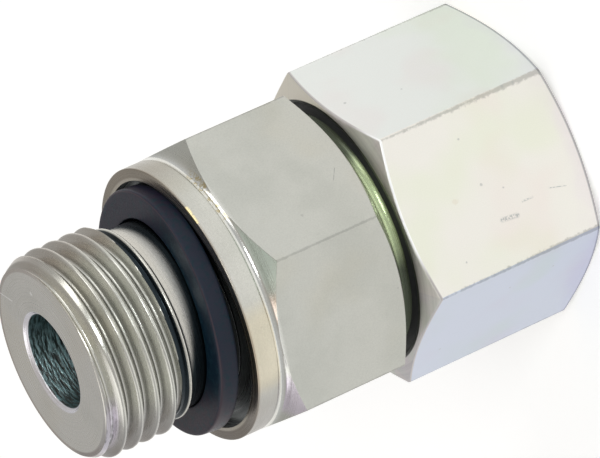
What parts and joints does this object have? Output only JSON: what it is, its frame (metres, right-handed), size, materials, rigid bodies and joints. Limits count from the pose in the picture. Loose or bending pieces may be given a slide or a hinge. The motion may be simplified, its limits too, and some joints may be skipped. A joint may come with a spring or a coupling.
{
  "type": "hydraulic swivel joint",
  "caption": "Straight hydraulic swivel joint: a bored stem with a male pipe-thread stud and hexagon turns on a ball race in a hexagonal housing with a female port.",
  "frame": {"origin": "centre of the housing's female end face, on the flow axis", "axes": "+Z along the flow axis from the female end face to the male end face; +X through a corner of the housing's hexagon"},
  "size_m": [0.0324, 0.032, 0.0527],
  "materials": {
    "zinc_steel": "bright zinc plated, satin",
    "plain_steel": "ground",
    "ball_steel": "polished bearing balls",
    "black_rubber": "matt moulded rubber",
    "seal_rubber": "smooth moulded rubber",
    "ptfe": "smooth white"
  },
  "bodies": {
    "housing": {"housing": "zinc_steel", "dust_wiper": "black_rubber", "ball_port_plug": "plain_steel"},
    "stem": {"stem": "zinc_steel", "stud_seal": "black_rubber", "spindle_o_ring": "seal_rubber", "backup_ring": "ptfe"},
    "ball_row": {"ball_01": "ball_steel", "ball_02": "ball_steel", "ball_03": "ball_steel", "ball_04": "ball_steel", "ball_05": "ball_steel", "ball_06": "ball_steel", "ball_07": "ball_steel", "ball_08": "ball_steel", "ball_09": "ball_steel", "ball_10": "ball_steel", "ball_11": "ball_steel", "ball_12": "ball_steel", "ball_13": "ball_steel", "ball_14": "ball_steel", "ball_15": "ball_steel", "ball_16": "ball_steel", "ball_17": "ball_steel", "ball_18": "ball_steel", "ball_19": "ball_steel", "ball_20": "ball_steel", "ball_21": "ball_steel", "ball_22": "ball_steel", "ball_23": "ball_steel", "ball_24": "ball_steel", "ball_25": "ball_steel"}
  },
  "joints": [
    {"name": "stem_spin", "type": "hinge", "parent": "housing", "child": "stem", "pos_m": [0, 0, 0.0169], "axis": [0, 0, 1], "continuous": true},
    {"name": "ball_row_spin", "type": "hinge", "parent": "housing", "child": "ball_row", "pos_m": [0, 0, 0.0169], "axis": [0, 0, 1], "continuous": true}
  ],
  "couplings": [
    {"joint": "ball_row_spin", "follows": "stem_spin", "ratio": 0.4392}
  ]
}
